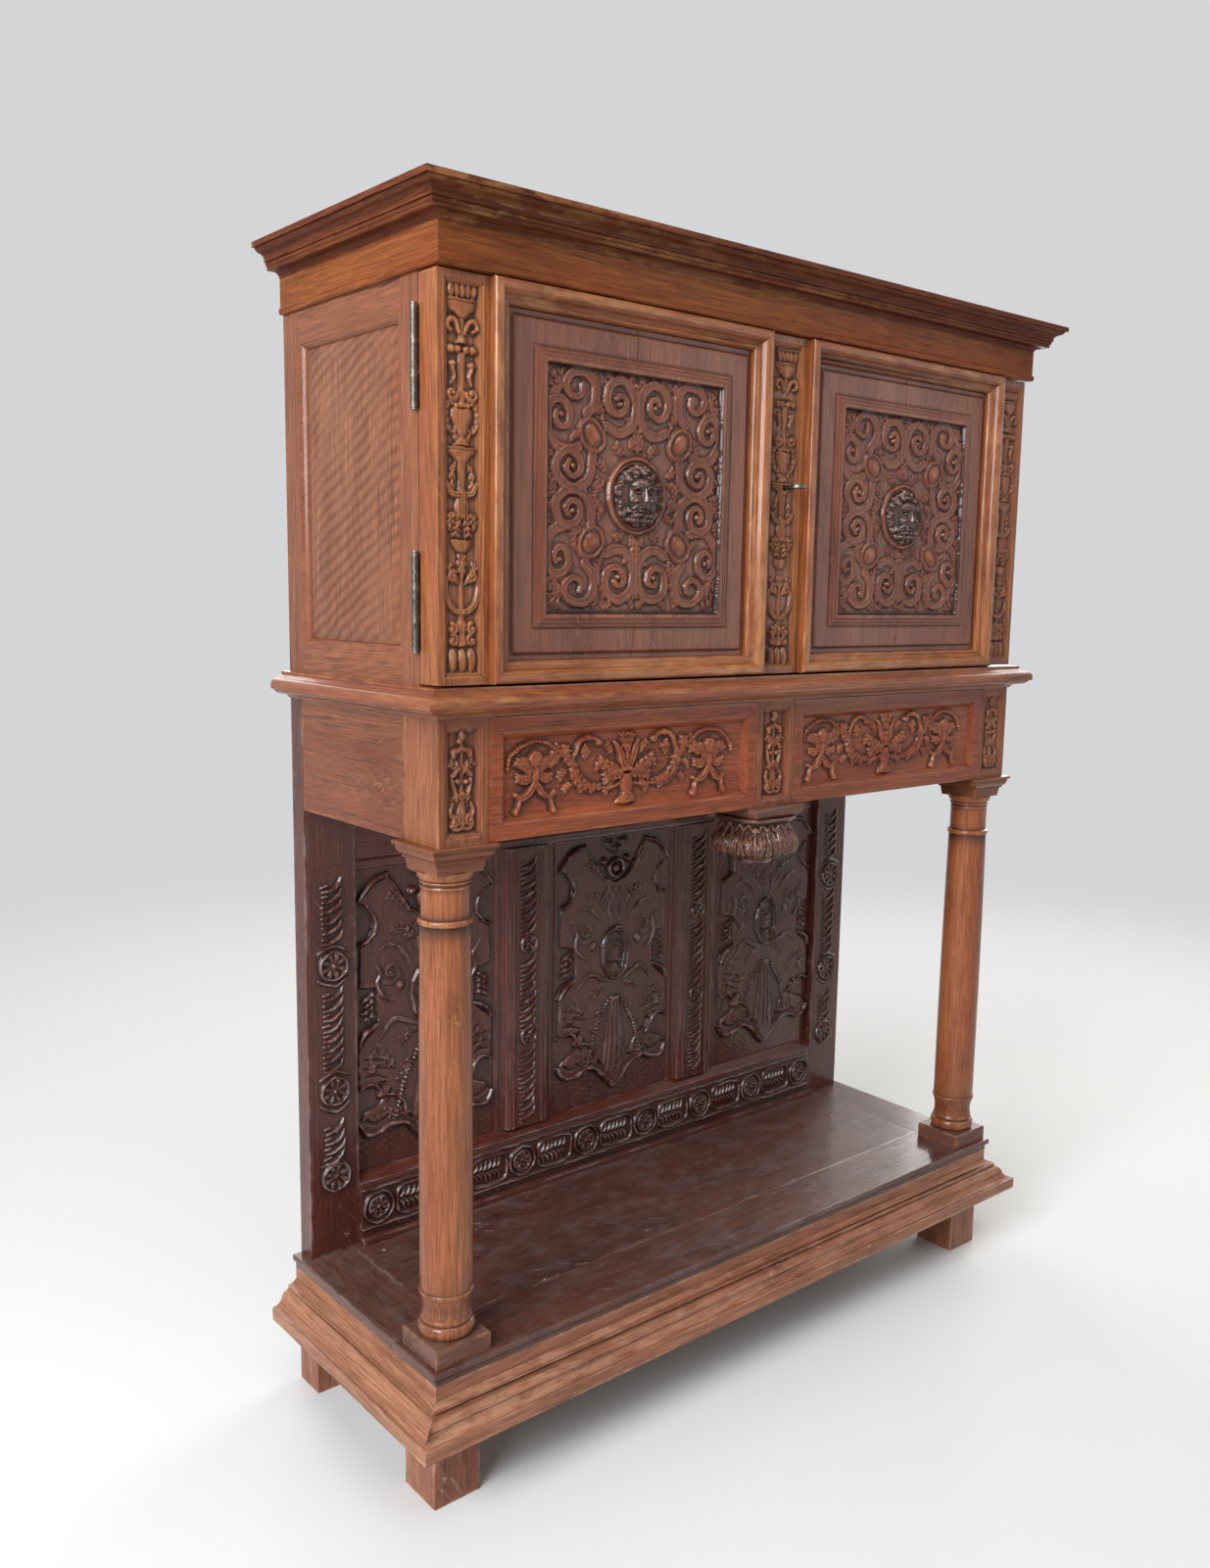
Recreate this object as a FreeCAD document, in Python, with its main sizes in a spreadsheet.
"""Oak credence: a two-door cupboard over two drawers, on two columns and a panelled back.

Millimetres, +Z up, the front faces -Y. The origin is on the floor, in the middle of the plan.
A width is given as a distance from the middle, and a moulding's section as half widths and heights.
"""
import FreeCAD
import Part
import Sketcher
import math
import os
import re

SIZES = {
    # Bows of a moulding: how far an arc's centre stands from its chord, as a share of the chord
    "quarter_share": 0.5,
    "gentle_share": 0.75,
    "slight_share": 0.9,
    # Plan of the case: half width of its sides and how far its front stands before the middle
    "case_half": 528.6,
    "case_front": 151.8,
    "board": 22,
    # Feet and base
    "foot_tall": 99.3,
    "foot_inset": 4.7,
    "foot_front_inset": 10.3,
    "foot_wide": 63.6,
    "foot_deep": 65.7,
    "rear_foot_deep": 50,
    "foot_tenon_inset": 18,
    "base_half": 537,
    "base_front": 155,
    "base_project": 35.3,
    "base_fillet": 17.2,
    "base_mould_tall": 47.7,
    "base_step_out": 12,
    "base_step_tall": 6,
    "base_step_drop": 3.5,
    "base_sweep_out": 31.5,
    "base_sweep_rise": 19.2,
    # Platform
    "platform_top": 182,
    "platform_thick": 18,
    "nosing_out": 4.5,
    "nosing_edge": 5.5,
    "nosing_round": 2,
    "nosing_cove": 6.5,
    "front_board_deep": 92,
    "end_board_wide": 74,
    # Columns
    "column_x": 496.5,
    "column_y": 115,
    "plinth_half": 38,
    "plinth_tall": 23,
    "plinth_bevel": 1.5,
    "torus_radius": 34,
    "torus_tall": 21,
    "torus_share": 0.3,
    "scotia_radius": 30,
    "scotia_tall": 28,
    "scotia_sink": 2,
    "collar_radius": 32.6,
    "collar_tall": 7,
    "shaft_low_radius": 31.4,
    "shaft_top_radius": 29.2,
    "straight_share": 0.4,
    "astragal_low": 698.5,
    "astragal_tall": 8,
    "astragal_radius": 31.8,
    "neck_radius": 28,
    "neck_fillet_low": 747.6,
    "neck_fillet_tall": 2.8,
    "neck_fillet_radius": 29.6,
    "echinus_radius": 33,
    "capital_low": 760.5,
    "capital_block_half": 31,
    "capital_block_top_half": 33,
    "capital_block_tall": 13.5,
    "abacus_half": 44,
    "abacus_edge": 4.5,
    "abacus_step": 3,
    "abacus_foot_half": 35.5,
    "abacus_foot_tall": 2.5,
    # Drawer section
    "drawer_case_low": 792.5,
    "waist_low": 934.3,
    "post_wide": 66.2,
    "post_deep": 71.4,
    "centre_post_half": 34.5,
    "sunk_margin": 8.5,
    "sunk_depth": 6,
    "sunk_slope": 9,
    "runner_thick": 12,
    "guide_tall": 18,
    "runner_setback": 0.5,
    # Drawers
    "drawer_gap": 0.8,
    "drawer_bottom_gap": 0.3,
    "drawer_front_thick": 22,
    "drawer_side_gap": 1.6,
    "drawer_side_thick": 12,
    "drawer_side_tall": 112,
    "drawer_long": 280,
    "drawer_bottom_thick": 6,
    "drawer_bottom_rise": 2,
    "drawer_panel_side": 19,
    "drawer_panel_end": 18,
    "drawer_panel_depth": 7,
    "drawer_panel_slope": 8,
    # Lower back
    "back_thick": 31,
    "back_post_wide": 72.6,
    "back_panel_sink": 13,
    "back_panel_thick": 10,
    "rail_sink": 3,
    "top_rail_low": 724.3,
    "top_rail_mould": 20,
    "bottom_rail_top": 268,
    "sill_tall": 12,
    "batten_out": 12,
    "batten_tall": 9,
    "muntin_centre": 171,
    "muntin_half": 55,
    "muntin_strip_half": 21,
    "muntin_bead": 9,
    "muntin_cove": 5,
    "muntin_drop": 3,
    # Pendant under the centre post
    "pendant_half": 47,
    "pendant_front": 165,
    "pendant_edge": 4,
    "pendant_abacus_tall": 15.5,
    "pendant_abacus_foot": 38,
    "bell_top_half": 42,
    "bell_lip": 4,
    "bell_waist_half": 38.5,
    "bell_belly_half": 46,
    "bell_belly_height": 33,
    "bell_tall": 57,
    "bell_foot_half": 36,
    "button_radius": 24,
    "button_foot_radius": 15,
    "button_tall": 10,
    # Waist moulding and cupboard floor
    "waist_tall": 33.7,
    "waist_lap": 28.6,
    "waist_foot_out": 2.4,
    "waist_cyma_out": 10.9,
    "waist_cyma_rise": 5.7,
    "waist_under_out": 23.4,
    "waist_under_rise": 11.5,
    "waist_nose_out": 26.9,
    "waist_nose_low": 12.2,
    "waist_nose_high": 18.2,
    "waist_ovolo_out": 19.4,
    "waist_ovolo_high": 25.7,
    "waist_step_out": 12,
    "waist_step_high": 30.2,
    "floor_thick": 18,
    # Cupboard
    "cupboard_top": 1401,
    "side_front_stile": 35,
    "side_rear_stile": 36.9,
    "side_low_rail": 30.6,
    "side_top_rail": 34,
    "side_mould_wide": 12,
    "side_mould_depth": 7,
    "side_mould_back": 16,
    "side_bevel": 18,
    "side_field_sink": 2.5,
    "side_panel_back": 15,
    "shelf_height": 1182,
    "shelf_thick": 16,
    "shelf_setback": 24,
    "back_board": 10,
    # Frieze and crown
    "frieze_half": 532.5,
    "frieze_front": 160.9,
    "frieze_bead_out": 2,
    "frieze_bead_tall": 7,
    "frieze_flare_tall": 4,
    "frieze_tall": 42,
    "crown_project": 35.5,
    "crown_cove_out": 9.5,
    "crown_cove_tall": 7,
    "crown_low_out": 15.5,
    "crown_bead_rise": 4.5,
    "crown_bead_out": 1.6,
    "crown_ogee_out": 20.1,
    "crown_ogee_low": 20.4,
    "crown_ogee_top_out": 32,
    "crown_fillet": 6.5,
    "crown_tall": 37,
    "top_board_thick": 18,
    # Doors
    "door_thick": 36.3,
    "door_joint": 1,
    "door_low_gap": 2,
    "door_top_gap": 1.5,
    "meeting_gap": 1,
    "centre_pilaster_half": 36.3,
    "pilaster_wide": 66.5,
    "frame_wide": 25,
    "frame_proud": 12,
    "frame_round": 4,
    "frame_crest": 9,
    "frame_slope": 20,
    "frame_slope_drop": 9.5,
    "frame_lip_drop": 15.5,
    "panel_back_setback": 14,
    "panel_margin_sink": 6,
    "panel_margin": 8,
    "panel_field_sink": 3.3,
    "panel_border": 27,
    "panel_border_wide": 17,
    "panel_rim_proud": 1,
    "carved_sink": 6,
    "carved_slope": 2,
    "mask_radius": 34,
    "mask_corner_share": 0.45,
    "mask_brow_share": 0.85,
    "mask_cheek_share": 0.55,
    "mask_nose_share": 0.25,
    "mask_proud": 17,
    # Hinges
    "hinge_low": 1006,
    "hinge_high": 1262,
    "hinge_tall": 104,
    "hinge_barrel": 4.2,
    "hinge_out": 4.9,
    "hinge_leaf_thick": 1.8,
    "hinge_leaf_wide": 20,
    "hinge_gap": 0.3,
    "pin_radius": 2,
    "pin_clearance": 0.05,
    "pin_head_radius": 3.4,
    "pin_head_tall": 3,
    # Lock and key
    "key_height": 1210,
    "lock_half_wide": 34,
    "lock_low": 30,
    "lock_high": 40,
    "lock_deep": 18,
    "lock_wall": 1.5,
    "bolt_tall": 12,
    "bolt_thick": 6,
    "bolt_long": 50,
    "bolt_clearance": 0.3,
    "bolt_setback": 4,
    "stem_radius": 3,
    "stem_clearance": 0.05,
    "key_reach": 35,
    "bow_radius": 11,
    "bow_hole": 6.5,
    "bow_thick": 3.6,
    "key_bit_tall": 10,
    "key_bit_long": 8,
    "key_bit_thick": 2.4,
    "key_end_gap": 2,
    "keyhole_play": 0.4,
    "overrun": 5,
}

# Places and sizes that follow from the ones above
RULES = {
    "back_face": "frieze_front + crown_project",
    "case_mitre": "case_half - case_front",
    "base_mitre": "base_half - base_front",
    "frieze_mitre": "frieze_half - frieze_front",
    "case_inner": "case_half - board",
    "foot_half": "base_half - foot_inset",
    "foot_front": "base_front - foot_front_inset",
    "platform_low": "platform_top - platform_thick",
    "base_inner": "base_half - board",
    "base_inner_front": "base_front - board",
    "nosing_half": "base_half + nosing_out",
    "panel_half": "nosing_half - end_board_wide",
    "panel_front": "front_board_deep - (base_front + nosing_out)",
    "panel_rear": "back_front - batten_out",
    "plinth_top": "platform_top + plinth_tall",
    "post_inner": "case_half - post_wide",
    "waist_inner": "case_half - waist_lap",
    "crown_inner": "frieze_half - board",
    "post_rear": "post_deep - case_front",
    "back_front": "back_face - back_thick",
    "back_post_inner": "case_half - back_post_wide",
    "back_panel_front": "back_front + back_panel_sink",
    "back_panel_rear": "back_panel_front + back_panel_thick",
    "rail_front": "back_front + rail_sink",
    "sill_top": "bottom_rail_top + sill_tall",
    "back_panel_top": "top_rail_low - top_rail_mould",
    "waist_top": "waist_low + waist_tall",
    "floor_low": "waist_top - floor_thick",
    "stile_front": "door_joint + door_thick - case_front",
    "side_mould_front": "stile_front + side_front_stile",
    "side_mould_rear": "back_face - side_rear_stile",
    "side_mould_low": "waist_top + side_low_rail",
    "side_mould_top": "cupboard_top - side_top_rail",
    "frieze_top": "cupboard_top + frieze_tall",
    "total_height": "frieze_top + crown_tall",
    "crown_half": "frieze_half + crown_project",
    "door_low": "waist_top + door_low_gap",
    "door_top": "cupboard_top - door_top_gap",
    "door_back": "door_thick - case_front",
    "frame_left": "case_half - pilaster_wide",
    "frame_right": "centre_pilaster_half + meeting_gap",
    "panel_left": "frame_left - frame_wide",
    "panel_right": "frame_right + frame_wide",
    "panel_low": "door_low + frame_wide",
    "panel_top": "door_top - frame_wide",
    "panel_middle": "(panel_left + panel_right)/2",
    "panel_centre_height": "(panel_low + panel_top)/2",
    "hinge_x": "case_half + hinge_out",
    "hinge_y": "door_back + door_joint/2",
    "runner_top": "drawer_case_low + runner_thick",
    "drawer_rear": "drawer_front_thick - case_front",
    "drawer_box_low": "runner_top + drawer_bottom_gap",
    "lock_back": "door_back + lock_deep",
}

doc = FreeCAD.newDocument("sideboard")
sheet = doc.addObject("Spreadsheet::Sheet", "sizes")
for row, (alias, number) in enumerate(SIZES.items(), start=1):
    sheet.set(f"A{row}", alias)
    sheet.set(f"B{row}", str(number))
    sheet.setAlias(f"B{row}", alias)
doc.recompute()

nodes = {}
HALF = 0.5


def bound(text):
    """The text as an expression on the sheet's cells, with the rules written out."""
    text = str(text)
    while True:
        longer = re.sub(r"[a-z_]+", lambda m: f"({RULES[m[0]]})" if m[0] in RULES else m[0], text)
        if longer == text:
            return re.sub(r"[a-z_]+", lambda m: f"sizes.{m[0]}" if m[0] in SIZES else m[0], text)
        text = longer


def value(text):
    """The text's number."""
    return float(sheet.evalExpression(bound(text)))


def bind(thing, prop, text):
    thing.setExpression(prop, bound(text))


def board(label, x, y, z):
    """A plain board between two places along each axis."""
    box = doc.addObject("Part::Box", label)
    for prop, axis, (low, high) in (("Length", "x", x), ("Width", "y", y), ("Height", "z", z)):
        bind(box, prop, f"({high}) - ({low})")
        bind(box, f"Placement.Base.{axis}", low)
    return box


def outline(body, plane, points):
    """A closed sketch through points (across, up) or (across, up, side, share): side bows the edge that
    leaves the point to its left, 1, or right, -1, and its centre stands that share of its chord away."""
    sketch = body.newObject("Sketcher::SketchObject", "outline")
    sketch.AttachmentSupport = (next(f for f in body.Origin.OriginFeatures if f.Role == plane), "")
    sketch.MapMode = "FlatFace"
    places = [FreeCAD.Vector(value(p[0]), value(p[1]), 0) for p in points]
    chords = [there - here for here, there in zip(places, places[1:] + places[:1])]
    edges, starts = [], []
    for point, here, chord in zip(points, places, chords):
        starts.append(2 if len(point) == 4 and point[2] > 0 else 1)
        if len(point) == 2:
            edges.append(Part.LineSegment(here, here + chord))
        else:
            left = FreeCAD.Vector(-chord.y, chord.x, 0)
            centre = here + chord * HALF - left * point[2] * value(point[3])
            first, last = (here, here + chord) if point[2] < 0 else (here + chord, here)
            begin = math.atan2(first.y - centre.y, first.x - centre.x)
            sweep = (math.atan2(last.y - centre.y, last.x - centre.x) - begin) % math.tau
            circle = Part.Circle(centre, FreeCAD.Vector(0, 0, 1), (here - centre).Length)
            edges.append(Part.ArcOfCircle(circle, begin, begin + sweep))
    sketch.addGeometry(edges, False)
    rules, texts = [], []
    for i, (point, here, chord) in enumerate(zip(points, places, chords)):
        rules.append(Sketcher.Constraint("DistanceX", -1, 1, i, starts[i], here.x))
        rules.append(Sketcher.Constraint("DistanceY", -1, 1, i, starts[i], here.y))
        texts += point[:2]
        if len(point) == 4:
            after = points[(i + 1) % len(points)]
            steep = abs(chord.y) > abs(chord.x)
            own, other = (0, 1) if steep else (1, 0)
            side = point[2] if steep else -point[2]
            text = (f"(({point[own]}) + ({after[own]}))/2"
                    f" + {side}*(({after[other]}) - ({point[other]}))*({point[3]})")
            kind = "DistanceX" if steep else "DistanceY"
            rules.append(Sketcher.Constraint(kind, -1, 1, i, 3, value(text)))
            texts.append(text)
    joins = [Sketcher.Constraint("Coincident", i - 1, 3 - starts[i - 1], i, starts[i])
             for i in range(1, len(points))]
    joins.append(Sketcher.Constraint("Coincident", len(points) - 1, 3 - starts[-1], 0, starts[0]))
    sketch.addConstraint(rules + joins)
    for i, text in enumerate(texts):
        bind(sketch, f"Constraints[{i}]", text)
    return sketch


def run(label, plane, points, start, end):
    """An outline in the YZ, XZ or XY plane, run between two places on the third axis."""
    body = doc.addObject("PartDesign::Body", label)
    sketch = outline(body, plane + "_Plane", points)
    bind(sketch, "AttachmentOffset.Base.z", f"-({end})" if plane == "XZ" else start)
    pad = body.newObject("PartDesign::Pad", "run")
    pad.Profile = sketch
    bind(pad, "Length", f"({end}) - ({start})")
    return body


def turned(label, points, plane="XZ", **place):
    """A turned piece: points (radius, along the axis), about Z from the XZ plane or about Y from XY."""
    body = doc.addObject("PartDesign::Body", label)
    sketch = outline(body, plane + "_Plane", points)
    spin = body.newObject("PartDesign::Revolution", "turning")
    spin.Profile = sketch
    spin.ReferenceAxis = (sketch, ["V_Axis"])
    for axis, text in place.items():
        bind(body, f"Placement.Base.{axis}", text)
    return body


def common(label, first, second):
    both = doc.addObject("Part::Common", label)
    both.Base = first
    both.Tool = second
    return both


def cut(label, base, *tools):
    """The base less each tool."""
    for i, tool in enumerate(tools):
        base_now = doc.addObject("Part::Cut", f"{label}_{i}")
        base_now.Base = base
        base_now.Tool = tool
        base = base_now
    return base


def fuse(label, *pieces):
    whole = doc.addObject("Part::MultiFuse", label)
    whole.Shapes = list(pieces)
    return whole


def other_side(label, source):
    """The same piece on the right."""
    mirror = doc.addObject("Part::Mirroring", label)
    mirror.Source = source
    mirror.Normal = (1, 0, 0)
    return mirror


def group(label, *pieces):
    """Separate pieces that share a node."""
    several = doc.addObject("Part::Compound", label)
    several.Links = list(pieces)
    return several


def node(name, thing):
    """Names the piece and puts it among those that are written out."""
    thing.Label = name
    nodes[name] = thing
    return thing


def both_sides(name, thing):
    node("left_" + name, thing)
    node("right_" + name, other_side("right_" + name, thing))


def cylinder(label, radius, length, x, y, z, axis="z"):
    rod = doc.addObject("Part::Cylinder", label)
    bind(rod, "Radius", radius)
    bind(rod, "Height", length)
    for name, text in (("x", x), ("y", y), ("z", z)):
        bind(rod, f"Placement.Base.{name}", text)
    if axis == "y":
        rod.Placement.Rotation = FreeCAD.Rotation(FreeCAD.Vector(-1, 0, 0), 90)
    return rod


def sunk(label, x, z, face, depth, slope):
    """What is cut away for a sunk panel with sloped sides in a face that looks to the front."""
    wedge = doc.addObject("Part::Wedge", label)
    bind(wedge, "Xmin", x[0])
    bind(wedge, "Xmax", x[1])
    bind(wedge, "Zmin", z[0])
    bind(wedge, "Zmax", z[1])
    bind(wedge, "Ymin", face)
    bind(wedge, "Ymax", f"({face}) + ({depth})")
    bind(wedge, "X2min", f"({x[0]}) + ({slope})")
    bind(wedge, "X2max", f"({x[1]}) - ({slope})")
    bind(wedge, "Z2min", f"({z[0]}) + ({slope})")
    bind(wedge, "Z2max", f"({z[1]}) - ({slope})")
    return wedge


def turned_about(section, middle="0"):
    """A section mirrored about a place: each distance across is taken from it."""
    return [(f"({middle}) - ({p[0]})", p[1], *((-p[2], p[3]) if len(p) == 4 else ())) for p in section]


def swell_share(chord, swell):
    """The share that bows a chord out by a swell."""
    return f"(({chord})^2/4 - ({swell})^2)/(2*({swell})*({chord}))"


def mitred_run(name, section, mitre, inner, outer, low, high, *more):
    """A moulding round the front and both ends, mitred at 45 degrees: section in half widths and heights,
    which the front run takes where a half width lies at mitre less that width."""
    front = run(name + "_front_run", "YZ", turned_about(section, mitre), f"-({outer})", outer)
    inner_y, outer_y = f"({mitre}) - ({inner})", f"({mitre}) - ({outer})"
    front_zone = run(name + "_front_zone", "XY", [
        (f"-({inner})", inner_y),
        (f"-({outer})", outer_y),
        (outer, outer_y),
        (inner, inner_y),
    ], low, high)
    left = run(name + "_left_run", "XZ", turned_about(section), outer_y, "back_face")
    left_zone = run(name + "_left_zone", "XY", [
        (f"-({inner})", inner_y),
        (f"-({inner})", "back_face"),
        (f"-({outer})", "back_face"),
        (f"-({outer})", outer_y),
    ], low, high)
    left_piece = common(name + "_left", left, left_zone)
    node(name, group(name, common(name + "_front", front, front_zone), left_piece,
                     other_side(name + "_right", left_piece), *more))


def square_block(label, section, x, y):
    """A square moulded block: section is (half width, height) from the bottom up, on one side."""
    def all_round(centre):
        right = [(f"({centre}) + ({p[0]})", *p[1:]) for p in section]
        left = []
        for i in range(len(section) - 1, -1, -1):
            bow = section[i - 1][2:] if i else ()
            left.append((f"({centre}) - ({section[i][0]})", section[i][1], *bow))
        return right + left

    widest = max((p[0] for p in section), key=value)
    long_way = run(label + "_wide", "XZ", all_round(x), f"({y}) - ({widest})", f"({y}) + ({widest})")
    short_way = run(label + "_deep", "YZ", all_round(y), f"({x}) - ({widest})", f"({x}) + ({widest})")
    return common(label, long_way, short_way)


def make_base():
    feet = []
    for row, y, post in (
        ("front", ("-foot_front", "foot_deep - foot_front"),
         ("-base_inner_front", "foot_deep - foot_front - foot_tenon_inset")),
        ("rear", ("back_face - rear_foot_deep", "back_face"),
         ("back_face - rear_foot_deep + foot_tenon_inset", "back_face - board")),
    ):
        block = board(f"{row}_foot_block", ("-foot_half", "foot_wide - foot_half"), y, ("0", "foot_tall"))
        shank = board(f"{row}_foot_shank", ("-base_inner", "foot_wide - foot_half"), post,
                      ("foot_tall", "platform_low"))
        left = fuse(f"{row}_foot_left", block, shank)
        feet += [left, other_side(f"{row}_foot_right", left)]
    node("feet", group("feet", *feet))

    height = ("foot_tall", "platform_low")
    front = board("front_rail", ("-base_half", "base_half"), ("-base_front", "-base_inner_front"), height)
    rear = board("rear_rail", ("-base_half", "base_half"), ("back_face - board", "back_face"), height)
    left = board("left_rail", ("-base_half", "-base_inner"), ("-base_inner_front", "back_face - board"), height)
    node("base_rails", group("base_rails", front, rear, left, other_side("right_rail", left)))

    top = "foot_tall + base_mould_tall"
    sweep_low = "foot_tall + base_fillet"
    sweep_top = "foot_tall + base_fillet + base_sweep_rise"
    section = [
        ("base_half", "foot_tall"),
        ("base_half + base_project", "foot_tall"),
        ("base_half + base_project", sweep_low),
        ("base_half + base_sweep_out", sweep_low, 1, "gentle_share"),
        ("base_half + (base_sweep_out + base_step_out)/2", f"({sweep_low} + {sweep_top})/2", -1, "gentle_share"),
        ("base_half + base_step_out", sweep_top),
        ("base_half + base_step_out", f"{top} - base_step_tall", 1, "slight_share"),
        ("base_half", top),
    ]
    mitred_run("base_moulding", section, "base_mitre", "base_half", "base_half + base_project", "foot_tall", top)


def nosing(half):
    """The platform's edge from the bottom up, at a half width of the plain face below it."""
    return [
        (half, "platform_low"),
        (half, "platform_top - nosing_edge - nosing_round - nosing_cove", 1, "quarter_share"),
        (f"{half} + nosing_out", "platform_top - nosing_edge - nosing_round"),
        (f"{half} + nosing_out", "platform_top - nosing_round", -1, "quarter_share"),
        (f"{half} + nosing_out - nosing_round", "platform_top"),
    ]


def make_platform():
    edge = nosing("base_half")
    across_board = run("front_board_ends", "XZ", edge + [
        ("-(base_half + nosing_out - nosing_round)", "platform_top", -1, "quarter_share"),
        ("-(base_half + nosing_out)", "platform_top - nosing_round"),
        ("-(base_half + nosing_out)", "platform_top - nosing_edge - nosing_round", 1, "quarter_share"),
        ("-base_half", "platform_top - nosing_edge - nosing_round - nosing_cove"),
        ("-base_half", "platform_low"),
    ], "-(base_front + nosing_out)", "panel_front")
    front_edge = run("front_board_nose", "YZ", turned_about(edge, "base_mitre") + [
        ("panel_front", "platform_top"),
        ("panel_front", "platform_low"),
    ], "-nosing_half", "nosing_half")
    node("platform_front_board", common("platform_front_board", across_board, front_edge))
    left = run("left_end_board", "XZ", turned_about(edge) + [
        ("-panel_half", "platform_top"),
        ("-panel_half", "platform_low"),
    ], "panel_front", "back_face")
    across, height = ("-panel_half", "panel_half"), ("platform_low", "platform_top")
    rear = board("rear_platform_board", across, ("panel_rear", "back_face"), height)
    node("platform_end_boards", group("platform_end_boards", left, other_side("right_end_board", left), rear))
    node("platform_panel", board("platform_panel", across, ("panel_front", "panel_rear"), height))


def make_columns():
    both_sides("column_plinth", square_block("left_column_plinth", [
        ("plinth_half", "platform_top"),
        ("plinth_half", "plinth_top - plinth_bevel"),
        ("plinth_half - plinth_bevel", "plinth_top"),
    ], "-column_x", "-column_y"))
    torus_top = "plinth_top + torus_tall"
    collar_low = f"{torus_top} + scotia_tall"
    collar_top = f"{collar_low} + collar_tall"
    neck_low = "astragal_low + astragal_tall"
    echinus_low = "neck_fillet_low + neck_fillet_tall"
    shaft = [
        ("0", "plinth_top"),
        ("scotia_radius", "plinth_top"),
        ("torus_radius", "plinth_top + torus_tall*torus_share"),
        ("torus_radius", f"{torus_top} - torus_tall*torus_share"),
        ("scotia_radius", torus_top),
        ("scotia_radius - scotia_sink", f"{torus_top} + scotia_tall/2"),
        ("scotia_radius", collar_low),
        ("collar_radius", f"{collar_low} + collar_tall/4"),
        ("collar_radius", f"{collar_top} - collar_tall/4"),
        ("scotia_radius", collar_top),
        ("shaft_low_radius", f"{collar_top} + collar_tall/4"),
        ("shaft_low_radius", f"{collar_top} + (astragal_low - ({collar_top}))*straight_share"),
        ("shaft_top_radius", "astragal_low"),
        ("astragal_radius", "astragal_low + astragal_tall/4"),
        ("astragal_radius", f"{neck_low} - astragal_tall/4"),
        ("shaft_top_radius", neck_low),
        ("neck_radius", f"{neck_low} + astragal_tall/2"),
        ("neck_radius", "neck_fillet_low"),
        ("neck_fillet_radius", "neck_fillet_low"),
        ("neck_fillet_radius", echinus_low),
        ("echinus_radius", f"({echinus_low} + capital_low)/2"),
        ("echinus_radius", "capital_low"),
        ("0", "capital_low"),
    ]
    both_sides("column_shaft", turned("left_column_shaft", shaft, x="-column_x", y="-column_y"))
    top = "capital_low + capital_block_tall"
    both_sides("column_capital", square_block("left_column_capital", [
        ("capital_block_half", "capital_low"),
        ("capital_block_top_half", top),
        ("abacus_foot_half", top),
        ("abacus_foot_half", f"{top} + abacus_foot_tall", -1, "gentle_share"),
        ("abacus_half - abacus_step", "drawer_case_low - abacus_edge"),
        ("abacus_half", "drawer_case_low - abacus_edge"),
        ("abacus_half", "drawer_case_low"),
    ], "-column_x", "-column_y"))


def make_pendant():
    low = "drawer_case_low - pendant_abacus_tall"
    middle = "pendant_half - pendant_front"
    node("pendant_abacus", square_block("pendant_abacus", [
        ("pendant_abacus_foot", low, -1, "gentle_share"),
        ("pendant_half", "drawer_case_low - pendant_edge"),
        ("pendant_half", "drawer_case_low"),
    ], "0", middle))
    foot = f"{low} - bell_tall"
    bell = square_block("pendant_bell", [
        ("bell_foot_half", foot, -1, "slight_share"),
        ("bell_belly_half", f"{low} - bell_belly_height", 1, "slight_share"),
        ("bell_waist_half", f"{low} - bell_lip*3", 1, "gentle_share"),
        ("bell_top_half", f"{low} - bell_lip"),
        ("bell_top_half", low),
    ], "0", middle)
    button = turned("pendant_button", [
        ("0", f"{foot} - button_tall"),
        ("button_foot_radius", f"{foot} - button_tall"),
        ("button_radius", foot),
        ("0", foot),
    ], y=middle)
    node("pendant_capital", fuse("pendant_capital", bell, button))


def carved_post(label, x, y):
    """A post of the drawer section with its sunk panel."""
    block = board(label + "_block", x, y, ("drawer_case_low", "waist_low"))
    hollow = sunk(label + "_sunk", (f"({x[0]}) + sunk_margin", f"({x[1]}) - sunk_margin"),
                  ("drawer_case_low + sunk_margin", "waist_low - sunk_margin"), y[0], "sunk_depth", "sunk_slope")
    return cut(label, block, hollow)


def make_drawer_section():
    deep = ("-case_front", "post_rear")
    both_sides("corner_post", carved_post("left_corner_post", ("-case_half", "-post_inner"), deep))
    node("centre_post", carved_post("centre_post", ("-centre_post_half", "centre_post_half"), deep))
    both_sides("side_board", board("left_side_board", ("-case_half", "-case_inner"), ("post_rear", "back_front"),
                                   ("drawer_case_low", "waist_low")))
    front = "drawer_rear + runner_setback"
    floor = ("drawer_case_low", "runner_top")
    middle = board("runner_middle", ("-case_inner", "case_inner"), ("post_rear", "back_front"), floor)
    lip = board("runner_lip", ("-post_inner", "-centre_post_half"), (front, "post_rear"), floor)
    guide_up = ("runner_top", "runner_top + guide_tall")
    behind = ("post_rear", "back_front")
    side_guide = board("side_guide", ("-case_inner", "-post_inner"), behind, guide_up)
    guide = board("centre_guide", ("-centre_post_half", "centre_post_half"), behind, guide_up)
    node("drawer_runner_board", group(
        "drawer_runner_board", fuse("runner_board", middle, lip, other_side("runner_lip_right", lip)),
        side_guide, other_side("side_guide_right", side_guide), guide))


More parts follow.
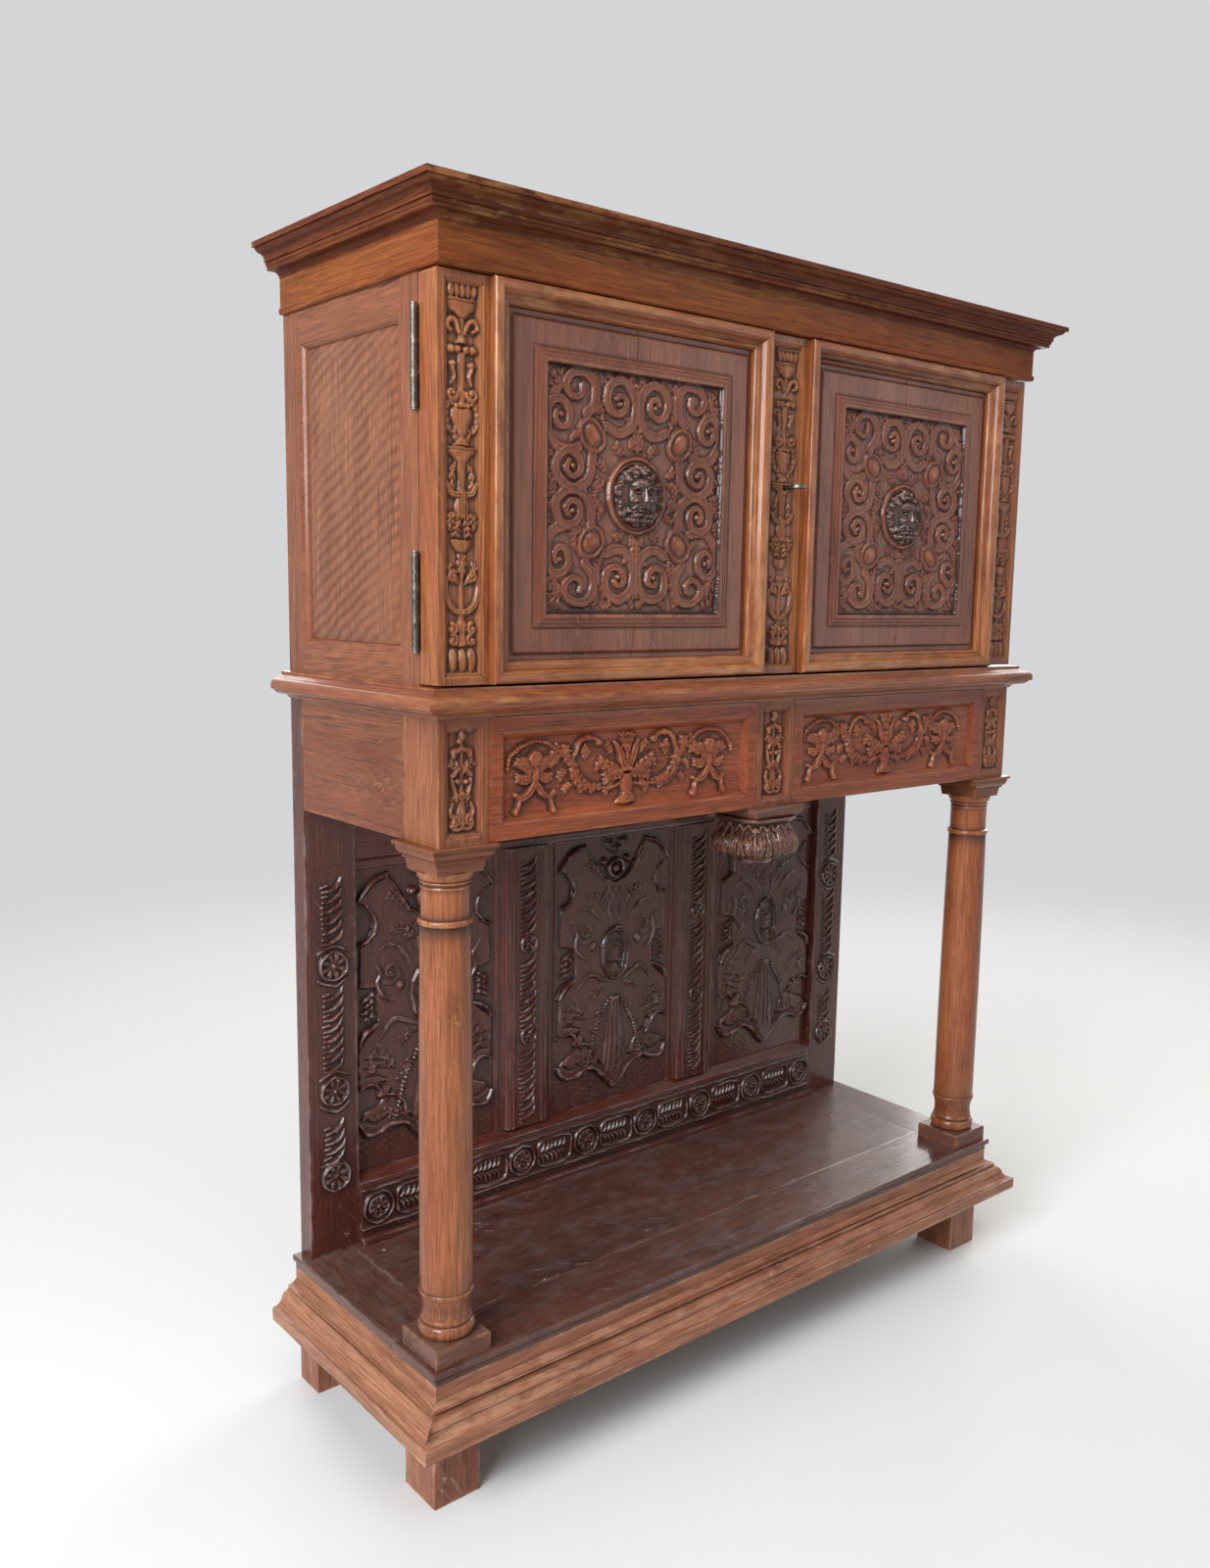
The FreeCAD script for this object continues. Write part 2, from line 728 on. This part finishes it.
def make_drawers():
    left, right = "-post_inner + drawer_gap", "-centre_post_half - drawer_gap"
    low, top = "drawer_case_low + drawer_bottom_gap", "waist_low - drawer_gap"
    slab = board("drawer_slab", (left, right), ("-case_front", "drawer_rear"), (low, top))
    hollow = sunk("drawer_sunk", (f"{left} + drawer_panel_end", f"{right} - drawer_panel_end"),
                  (f"{low} + drawer_panel_side", f"{top} - drawer_panel_side"),
                  "-case_front", "drawer_panel_depth", "drawer_panel_slope")
    both_sides("drawer_front", cut("drawer_front", slab, hollow))
    outer, inner = "-post_inner + drawer_side_gap", "-centre_post_half - drawer_side_gap"
    inside = (f"{outer} + drawer_side_thick", f"{inner} - drawer_side_thick")
    sides = ("drawer_box_low", "drawer_box_low + drawer_side_tall")
    long_way = ("drawer_rear", "drawer_rear + drawer_long")
    rear = ("drawer_rear + drawer_long - drawer_side_thick", "drawer_rear + drawer_long")
    bottom_low = "drawer_box_low + drawer_bottom_rise"
    both_sides("drawer_box", group(
        "drawer_box",
        board("drawer_outer_side", (outer, inside[0]), long_way, sides),
        board("drawer_inner_side", (inside[1], inner), long_way, sides),
        board("drawer_back", inside, rear, (f"{bottom_low} + drawer_bottom_thick", sides[1])),
        board("drawer_bottom", inside, long_way, (bottom_low, f"{bottom_low} + drawer_bottom_thick"))))


def make_lower_back():
    both_sides("back_post", board("left_back_post", ("-case_half", "-back_post_inner"), ("back_front", "back_face"),
                                  ("platform_top", "waist_low")))
    node("back_top_rail", run("back_top_rail", "YZ", [
        ("back_face", "back_panel_top"),
        ("back_panel_front - muntin_drop", "back_panel_top", -1, "gentle_share"),
        ("rail_front + muntin_drop", "top_rail_low - muntin_cove"),
        ("rail_front", "top_rail_low - muntin_cove"),
        ("rail_front", "waist_low"),
        ("back_face", "waist_low"),
    ], "-back_post_inner", "back_post_inner"))
    sill = [
        ("back_face", "platform_top"),
        ("back_front - batten_out", "platform_top"),
        ("back_front - batten_out", "platform_top + batten_tall"),
        ("back_front", "platform_top + batten_tall"),
        ("back_front", "bottom_rail_top"),
        ("back_panel_front", "sill_top"),
        ("back_face", "sill_top"),
    ]
    node("back_bottom_rail", run("back_bottom_rail", "YZ", sill, "-back_post_inner", "back_post_inner"))
    left, right = "-(muntin_centre + muntin_half)", "-(muntin_centre - muntin_half)"
    strip_left = "-(muntin_centre + muntin_strip_half)"
    strip_right = "-(muntin_centre - muntin_strip_half)"
    section = [
        (left, "back_face"),
        (left, "back_panel_front"),
        (f"{left} + muntin_cove", "back_panel_front - muntin_drop", 1, "quarter_share"),
        (f"{strip_left} - muntin_bead - muntin_cove", "back_front + muntin_drop"),
        (f"{strip_left} - muntin_bead", "back_front + muntin_drop", 1, "quarter_share"),
        (f"{strip_left} - muntin_bead/2", "back_front", 1, "quarter_share"),
        (strip_left, "back_front + muntin_drop"),
        (strip_right, "back_front + muntin_drop", 1, "quarter_share"),
        (f"{strip_right} + muntin_bead/2", "back_front", 1, "quarter_share"),
        (f"{strip_right} + muntin_bead", "back_front + muntin_drop"),
        (f"{strip_right} + muntin_bead + muntin_cove", "back_front + muntin_drop", 1, "quarter_share"),
        (f"{right} - muntin_cove", "back_panel_front - muntin_drop"),
        (right, "back_panel_front"),
        (right, "back_face"),
    ]
    muntin = run("left_muntin", "XY", section, "sill_top", "back_panel_top")
    node("back_muntins", group("back_muntins", muntin, other_side("right_muntin", muntin)))
    height = ("sill_top", "back_panel_top")
    deep = ("back_panel_front", "back_panel_rear")
    both_sides("back_panel", board("left_back_panel", ("-back_post_inner", left), deep, height))
    node("centre_back_panel", board("centre_back_panel", (right, f"-({right})"), deep, height))


def make_waist():
    section = [
        ("waist_inner", "waist_low"),
        ("case_half + waist_foot_out", "waist_low", 1, "gentle_share"),
        ("case_half + waist_cyma_out", "waist_low + waist_cyma_rise", -1, "gentle_share"),
        ("case_half + waist_under_out", "waist_low + waist_under_rise"),
        ("case_half + waist_nose_out", "waist_low + waist_nose_low"),
        ("case_half + waist_nose_out", "waist_low + waist_nose_high", -1, "gentle_share"),
        ("case_half + waist_ovolo_out", "waist_low + waist_ovolo_high"),
        ("case_half + waist_step_out", "waist_low + waist_step_high"),
        ("case_half + waist_step_out", "waist_top"),
        ("waist_inner", "waist_top"),
    ]
    rear = board("waist_rear_rail", ("-waist_inner", "waist_inner"), ("back_face - board", "back_face"),
                 ("waist_low", "floor_low"))
    mitred_run("waist_moulding", section, "case_mitre", "waist_inner", "case_half + waist_nose_out",
               "waist_low", "waist_top", rear)
    node("cupboard_floor", board("cupboard_floor", ("-waist_inner", "waist_inner"),
                                 ("case_mitre - waist_inner", "back_face"), ("floor_low", "waist_top")))


def hinge_pockets(label, front, rear):
    """What is cut away to let both hinges' leaves into a face."""
    return [board(f"{label}_pocket_{low}", ("-case_half - overrun", "hinge_leaf_wide - case_half"),
                  (front, rear), (low, f"{low} + hinge_tall")) for low in ("hinge_low", "hinge_high")]


def make_side():
    x = ("-case_half", "-case_inner")
    stile = board("front_stile_blank", x, ("stile_front", "side_mould_front"), ("waist_top", "cupboard_top"))
    front = cut("front_stile", stile, *hinge_pockets("case", "stile_front - overrun",
                                                     "stile_front + hinge_leaf_thick"))
    rear = board("rear_stile", x, ("side_mould_rear", "back_face"), ("waist_top", "cupboard_top"))
    between = ("side_mould_front", "side_mould_rear")
    low = board("low_rail", x, between, ("waist_top", "side_mould_low"))
    top = board("top_rail", x, between, ("side_mould_top", "cupboard_top"))
    face, back = "-case_half", "-case_half + side_mould_back"
    y = ("side_mould_front", "side_mould_rear")
    z = ("side_mould_low", "side_mould_top")
    strips = []
    for name, (edge, turn) in {"front": (y[0], "+"), "rear": (y[1], "-")}.items():
        bow = 1 if turn == "+" else -1
        section = [
            (back, edge),
            (face, edge, bow, "gentle_share"),
            (f"{face} + side_mould_depth", f"{edge} {turn} side_mould_wide"),
            (back, f"{edge} {turn} side_mould_wide"),
        ]
        strip = run(f"{name}_strip_run", "XY", section, z[0], z[1])
        zone = run(f"{name}_strip_zone", "YZ", [
            (edge, z[0]),
            (f"{edge} {turn} side_mould_wide", f"{z[0]} + side_mould_wide"),
            (f"{edge} {turn} side_mould_wide", f"{z[1]} - side_mould_wide"),
            (edge, z[1]),
        ], face, back)
        strips.append(common(f"{name}_strip", strip, zone))
    for name, (edge, turn) in {"low": (z[0], "+"), "top": (z[1], "-")}.items():
        bow = 1 if turn == "+" else -1
        section = [
            (back, edge),
            (face, edge, bow, "gentle_share"),
            (f"{face} + side_mould_depth", f"{edge} {turn} side_mould_wide"),
            (back, f"{edge} {turn} side_mould_wide"),
        ]
        strip = run(f"{name}_strip_run", "XZ", section, y[0], y[1])
        zone = run(f"{name}_strip_zone", "YZ", [
            (y[0], edge),
            (f"{y[0]} + side_mould_wide", f"{edge} {turn} side_mould_wide"),
            (f"{y[1]} - side_mould_wide", f"{edge} {turn} side_mould_wide"),
            (y[1], edge),
        ], face, back)
        strips.append(common(f"{name}_strip", strip, zone))
    both_sides("side_frame", group("side_frame", front, rear, low, top, *strips))

    inner_y = ("side_mould_front + side_mould_wide", "side_mould_rear - side_mould_wide")
    inner_z = ("side_mould_low + side_mould_wide", "side_mould_top - side_mould_wide")
    plate = board("side_plate", ("-case_half + side_mould_depth", "-case_half + side_panel_back"), inner_y, inner_z)
    field = doc.addObject("Part::Wedge", "side_field")
    bind(field, "Ymin", "0")
    bind(field, "Ymax", "side_mould_depth - side_field_sink")
    bind(field, "Xmin", "0")
    bind(field, "Xmax", f"({inner_y[1]}) - ({inner_y[0]})")
    bind(field, "Zmin", inner_z[0])
    bind(field, "Zmax", inner_z[1])
    bind(field, "X2min", "side_bevel")
    bind(field, "X2max", f"({inner_y[1]}) - ({inner_y[0]}) - side_bevel")
    bind(field, "Z2min", f"{inner_z[0]} + side_bevel")
    bind(field, "Z2max", f"{inner_z[1]} - side_bevel")
    field.Placement.Rotation = FreeCAD.Rotation(FreeCAD.Vector(0, 0, 1), 90)
    bind(field, "Placement.Base.x", "-case_half + side_mould_depth")
    bind(field, "Placement.Base.y", inner_y[0])
    both_sides("side_panel", fuse("side_panel", plate, field))


def make_cupboard_inside():
    node("cupboard_back", board("cupboard_back", ("-case_inner", "case_inner"),
                                ("back_face - back_board", "back_face"),
                                ("waist_top", "total_height - top_board_thick")))
    node("cupboard_shelf", board("cupboard_shelf", ("-case_inner", "case_inner"),
                                 ("stile_front + shelf_setback", "back_face - back_board"),
                                 ("shelf_height", "shelf_height + shelf_thick")))


def make_frieze_and_crown():
    low, top = "cupboard_top", "frieze_top"
    bead_top = "cupboard_top + frieze_bead_tall"
    section = [
        ("frieze_half - board", low),
        ("frieze_half", low),
        ("frieze_half + frieze_bead_out", f"{low} + frieze_bead_out"),
        ("frieze_half + frieze_bead_out", bead_top, 1, "gentle_share"),
        ("frieze_half", f"{bead_top} + frieze_flare_tall"),
        ("frieze_half", top),
        ("frieze_half - board", top),
    ]
    mitred_run("frieze_boards", section, "frieze_mitre", "frieze_half - board",
               "frieze_half + frieze_bead_out", low, top)
    low, top = "frieze_top", "total_height"
    cove_top = f"{low} + crown_cove_tall"
    bead = "frieze_half + crown_low_out"
    section = [
        ("crown_inner", low),
        ("frieze_half", low, 1, "quarter_share"),
        ("frieze_half + crown_cove_out", cove_top),
        (bead, cove_top, -1, "gentle_share"),
        (f"{bead} + crown_bead_out/2", f"{cove_top} + crown_bead_rise"),
        (f"{bead} + crown_bead_out", f"{cove_top} + crown_bead_rise", -1, "gentle_share"),
        (f"{bead} + crown_bead_out*3/2", f"{cove_top} + crown_bead_rise*2"),
        ("frieze_half + crown_ogee_out", f"{cove_top} + crown_bead_rise*2"),
        ("frieze_half + crown_ogee_out", f"{low} + crown_ogee_low", 1, "slight_share"),
        ("frieze_half + (crown_ogee_out + crown_ogee_top_out)/2",
         f"({low} + crown_ogee_low + {top} - crown_fillet)/2", -1, "slight_share"),
        ("frieze_half + crown_ogee_top_out", f"{top} - crown_fillet"),
        ("crown_half", f"{top} - crown_fillet"),
        ("crown_half", top),
        ("crown_inner", top),
    ]
    mitred_run("crown_moulding", section, "frieze_mitre", "crown_inner", "crown_half", low, top)
    node("top_board", board("top_board", ("-crown_inner", "crown_inner"), ("frieze_mitre - crown_inner", "back_face"),
                            ("total_height - top_board_thick", "total_height")))


def pilaster(label, x, holes):
    """A door stile carved as a pilaster, sunk inside a raised margin."""
    block = board(label + "_block", x, ("-case_front", "door_back"), ("door_low", "door_top"))
    hollow = sunk(label + "_sunk", (f"({x[0]}) + sunk_margin", f"({x[1]}) - sunk_margin"),
                  ("door_low + sunk_margin", "door_top - sunk_margin"), "-case_front", "sunk_depth", "sunk_slope")
    return cut(label, block, hollow, *holes)


def frame_section(outer, inner_turn):
    """The door frame's section as (across, forward) from its outer edge; forward is -Y."""
    def at(out, fore):
        return f"{outer} {inner_turn} ({out})", fore
    face = "-case_front - frame_proud"
    bow = -1 if inner_turn == "+" else 1
    return [
        at("0", "door_back"),
        (*at("0", f"{face} + frame_round"), bow, "quarter_share"),
        at("frame_round", face),
        (*at("frame_crest", face), bow, "slight_share"),
        (*at("(frame_crest + frame_slope)/2", f"{face} + frame_slope_drop/2"), -bow, "slight_share"),
        at("frame_slope", f"{face} + frame_slope_drop"),
        (*at("frame_slope + frame_round/2", f"{face} + frame_slope_drop"), bow, "gentle_share"),
        at("frame_wide", f"{face} + frame_lip_drop"),
        at("frame_wide", "door_back"),
    ]


def eight_sided(radius, x, z):
    """An outline with eight sides about a place."""
    corner = f"({radius})*mask_corner_share"
    points = []
    side = [(radius, f"-({corner})"), (radius, corner)]
    for quarter in range(4):
        points += [(f"({x}) + ({across})", f"({z}) + ({up})") for across, up in side]
        side = [(f"-({up})", across) for across, up in side]
    return points


def around(levels):
    """Levels (half width, rise) up one side and down the other."""
    return [("-", *level) for level in levels] + [("+", *level) for level in reversed(levels)]


def make_doors():
    pockets = hinge_pockets("door", "door_back - hinge_leaf_thick", "door_back + overrun")
    both_sides("door_pilaster", pilaster("left_door_pilaster", ("-case_half", "-frame_left"), pockets))

    members = []
    left, right, low, top = "-frame_left", "-frame_right", "door_low", "door_top"
    front = "-case_front - frame_proud"
    for name, edge, turn in (("outer", left, "+"), ("inner", right, "-")):
        member = run(f"{name}_member_run", "XY", frame_section(edge, turn), low, top)
        zone = run(f"{name}_member_zone", "XZ", [
            (edge, low),
            (f"{edge} {turn} frame_wide", f"{low} + frame_wide"),
            (f"{edge} {turn} frame_wide", f"{top} - frame_wide"),
            (edge, top),
        ], front, "door_back")
        members.append(common(f"{name}_member", member, zone))
    for name, edge, turn in (("low", low, "+"), ("top", top, "-")):
        section = [(p[1], p[0], *((-p[2], p[3]) if len(p) == 4 else ())) for p in frame_section(edge, turn)]
        member = run(f"{name}_member_run", "YZ", section, left, right)
        zone = run(f"{name}_member_zone", "XZ", [
            (left, edge),
            (f"{left} + frame_wide", f"{edge} {turn} frame_wide"),
            (f"{right} - frame_wide", f"{edge} {turn} frame_wide"),
            (right, edge),
        ], front, "door_back")
        members.append(common(f"{name}_member", member, zone))
    both_sides("door_frame", group("door_frame", *members))

    margin_face = "panel_margin_sink - case_front"
    field_face = "panel_field_sink - case_front"
    rim_face = "-case_front - panel_rim_proud"
    x, z = ("-panel_left", "-panel_right"), ("panel_low", "panel_top")
    field_x = ("-panel_left + panel_margin", "-panel_right - panel_margin")
    field_z = ("panel_low + panel_margin", "panel_top - panel_margin")
    sheet_piece = board("panel_plate", x, (margin_face, "door_back - panel_back_setback"), z)
    field = board("panel_field", field_x, (field_face, margin_face), field_z)
    border_x = (f"{field_x[0]} + panel_border", f"{field_x[1]} - panel_border")
    border_z = (f"{field_z[0]} + panel_border", f"{field_z[1]} - panel_border")
    border = doc.addObject("Part::Wedge", "panel_border_block")
    for prop, text in {
        "Xmin": f"{border_x[0]} + panel_border_wide/2", "Xmax": f"{border_x[1]} - panel_border_wide/2",
        "Zmin": f"{border_z[0]} + panel_border_wide/2", "Zmax": f"{border_z[1]} - panel_border_wide/2",
        "Ymin": rim_face, "Ymax": field_face,
        "X2min": border_x[0], "X2max": border_x[1], "Z2min": border_z[0], "Z2max": border_z[1],
    }.items():
        bind(border, prop, text)
    carved = sunk("carved_square", (f"{border_x[0]} + panel_border_wide", f"{border_x[1]} - panel_border_wide"),
                  (f"{border_z[0]} + panel_border_wide", f"{border_z[1]} - panel_border_wide"),
                  rim_face, "carved_sink + panel_rim_proud", "carved_slope")
    both_sides("door_panel", cut("door_panel", fuse("door_panel_raised", sheet_piece, field, border), carved))

    ground = "carved_sink - case_front"
    proud = "mask_proud + carved_sink"
    levels = [
        ("mask_radius", "0"),
        ("mask_radius", f"({proud})*mask_nose_share"),
        ("mask_radius*mask_brow_share", f"({proud})*mask_cheek_share"),
        ("mask_radius*mask_cheek_share", f"({proud})*mask_brow_share"),
        ("mask_radius*mask_nose_share", proud),
    ]
    x, z, radius = "-panel_middle", "panel_centre_height", "mask_radius"
    across = [(f"({x}) {turn} {r}", f"{ground} - ({rise})") for turn, r, rise in around(levels)]
    upward = [(f"{ground} - ({rise})", f"{z} {turn} {r}") for turn, r, rise in reversed(around(levels))]
    wide = run("mask_wide", "XY", across, f"{z} - {radius}", f"{z} + {radius}")
    tall = run("mask_tall", "YZ", upward, f"({x}) - {radius}", f"({x}) + {radius}")
    plan = run("mask_plan", "XZ", eight_sided(radius, x, z), f"{ground} - ({proud})", ground)
    mask = common("mask", common("mask_pillow", wide, tall), plan)
    both_sides("door_mask", mask)


def make_hinge(name, low):
    """One butt hinge at the left: its case leaf, its door leaf and its pin."""
    x, y = "-hinge_x", "hinge_y"
    third = "(hinge_tall - 2*hinge_gap)/3"

    def knuckle(label, i):
        ring = cylinder(f"{label}_{i}", "hinge_barrel", third, x, y, f"{low} + {i}*({third} + hinge_gap)")
        bore = cylinder(f"{label}_{i}_bore", "pin_radius + pin_clearance", f"{third} + 2*overrun", x, y,
                        f"{low} + {i}*({third} + hinge_gap) - overrun")
        return ring, bore

    leaves = {}
    for side, shares in (("case", (0, 2)), ("door", (1,))):
        if side == "case":
            leaf_y = ("stile_front", "stile_front + hinge_leaf_thick")
        else:
            leaf_y = ("door_back - hinge_leaf_thick", "door_back")
        rings, bores, webs = [], [], []
        for i in shares:
            ring, bore = knuckle(f"{name}_{side}_knuckle", i)
            rings.append(ring)
            bores.append(bore)
            start = f"{low} + {i}*({third} + hinge_gap)"
            webs.append(board(f"{name}_{side}_web_{i}", (x, "-case_half"), leaf_y, (start, f"{start} + {third}")))
        plate = board(f"{name}_{side}_plate", ("-case_half", "hinge_leaf_wide - case_half"), leaf_y,
                      (low, f"{low} + hinge_tall"))
        leaves[side] = cut(f"{name}_{side}_leaf", fuse(f"{name}_{side}_blank", plate, *webs, *rings), *bores)
    pin = fuse(f"{name}_pin",
               cylinder(f"{name}_pin_rod", "pin_radius", "hinge_tall", x, y, low),
               cylinder(f"{name}_pin_head", "pin_head_radius", "pin_head_tall", x, y, f"{low} + hinge_tall"),
               cylinder(f"{name}_pin_foot", "pin_head_radius", "pin_head_tall", x, y, f"{low} - pin_head_tall"))
    return leaves["case"], leaves["door"], pin


def make_hinges():
    low_case, low_door, low_pin = make_hinge("low_hinge", "hinge_low")
    high_case, high_door, high_pin = make_hinge("high_hinge", "hinge_high")
    both_sides("hinge_case_leaves", group("hinge_case_leaves", low_case, high_case))
    both_sides("hinge_door_leaves", group("hinge_door_leaves", low_door, high_door))
    node("hinge_pins", group("hinge_pins", low_pin, high_pin, other_side("low_pin_right", low_pin),
                             other_side("high_pin_right", high_pin)))


def make_lock():
    through = "door_thick + 2*overrun"
    hole = cylinder("keyhole_round", "stem_radius + stem_clearance", through, "0", "-case_front - overrun",
                    "key_height", axis="y")
    slot_half = "key_bit_thick/2 + keyhole_play"
    slot = board("keyhole_slot", (f"-({slot_half})", slot_half), ("-case_front - overrun", "door_back + overrun"),
                 ("key_height - key_bit_tall - keyhole_play", "key_height"))
    node("centre_door_pilaster", pilaster("centre_door_pilaster", ("-centre_pilaster_half", "frame_right"),
                                          [hole, slot]))

    bolt_low = "key_height + key_bit_tall + keyhole_play"
    bolt_high = f"{bolt_low} + bolt_tall"
    bolt_front = "door_back + bolt_setback"
    bolt_rear = f"{bolt_front} + bolt_thick"
    shell = board("lock_shell", ("-lock_half_wide", "lock_half_wide"), ("door_back", "lock_back"),
                  ("key_height - lock_low", "key_height + lock_high"))
    room = board("lock_room", ("lock_wall - lock_half_wide", "lock_half_wide - lock_wall"),
                 ("door_back - overrun", "lock_back - lock_wall"),
                 ("key_height - lock_low + lock_wall", "key_height + lock_high - lock_wall"))
    mouth = board("lock_mouth", ("-lock_half_wide - overrun", "-lock_half_wide + lock_wall + overrun"),
                  (f"{bolt_front} - bolt_clearance", f"{bolt_rear} + bolt_clearance"),
                  (f"{bolt_low} - bolt_clearance", f"{bolt_high} + bolt_clearance"))
    node("lock_case", cut("lock_case", shell, room, mouth))
    node("lock_bolt", board("lock_bolt", ("-lock_half_wide", "bolt_long - lock_half_wide"),
                            (bolt_front, bolt_rear), (bolt_low, bolt_high)))

    bow_y = "-case_front - key_reach + bow_radius"
    stem_start = f"{bow_y} + bow_hole"
    stem_end = "lock_back - lock_wall - key_end_gap"
    stem = cylinder("key_stem", "stem_radius", f"({stem_end}) - ({stem_start})", "0", stem_start, "key_height", axis="y")
    disc = cylinder("key_bow_disc", "bow_radius", "bow_thick", "0", bow_y, "key_height - bow_thick/2")
    eye = cylinder("key_bow_eye", "bow_hole", "bow_thick + 2*overrun", "0", bow_y,
                   "key_height - bow_thick/2 - overrun")
    bit = board("key_bit", ("-key_bit_thick/2", "key_bit_thick/2"),
                (f"{stem_end} - key_end_gap - key_bit_long", f"{stem_end} - key_end_gap"),
                ("key_height - key_bit_tall", "key_height"))
    node("key", fuse("key", cut("key_bow", disc, eye), stem, bit))


def write_parts():
    doc.recompute()
    for thing in doc.Objects:
        if set(thing.State) & {"Invalid", "Error"}:
            raise RuntimeError(f"{thing.Label} didn't compute: {thing.State}")
    os.makedirs("parts", exist_ok=True)
    for name, thing in nodes.items():
        if thing.Shape.isNull() or not thing.Shape.isValid() or not thing.Shape.Solids:
            raise RuntimeError(f"{name} has no sound shape")
        thing.Shape.exportStep(f"parts/{name}.step")
    print(len(nodes), "pieces written")


make_base()
make_platform()
make_columns()
make_pendant()
make_drawer_section()
make_drawers()
make_lower_back()
make_waist()
make_side()
make_cupboard_inside()
make_frieze_and_crown()
make_doors()
make_hinges()
make_lock()
write_parts()
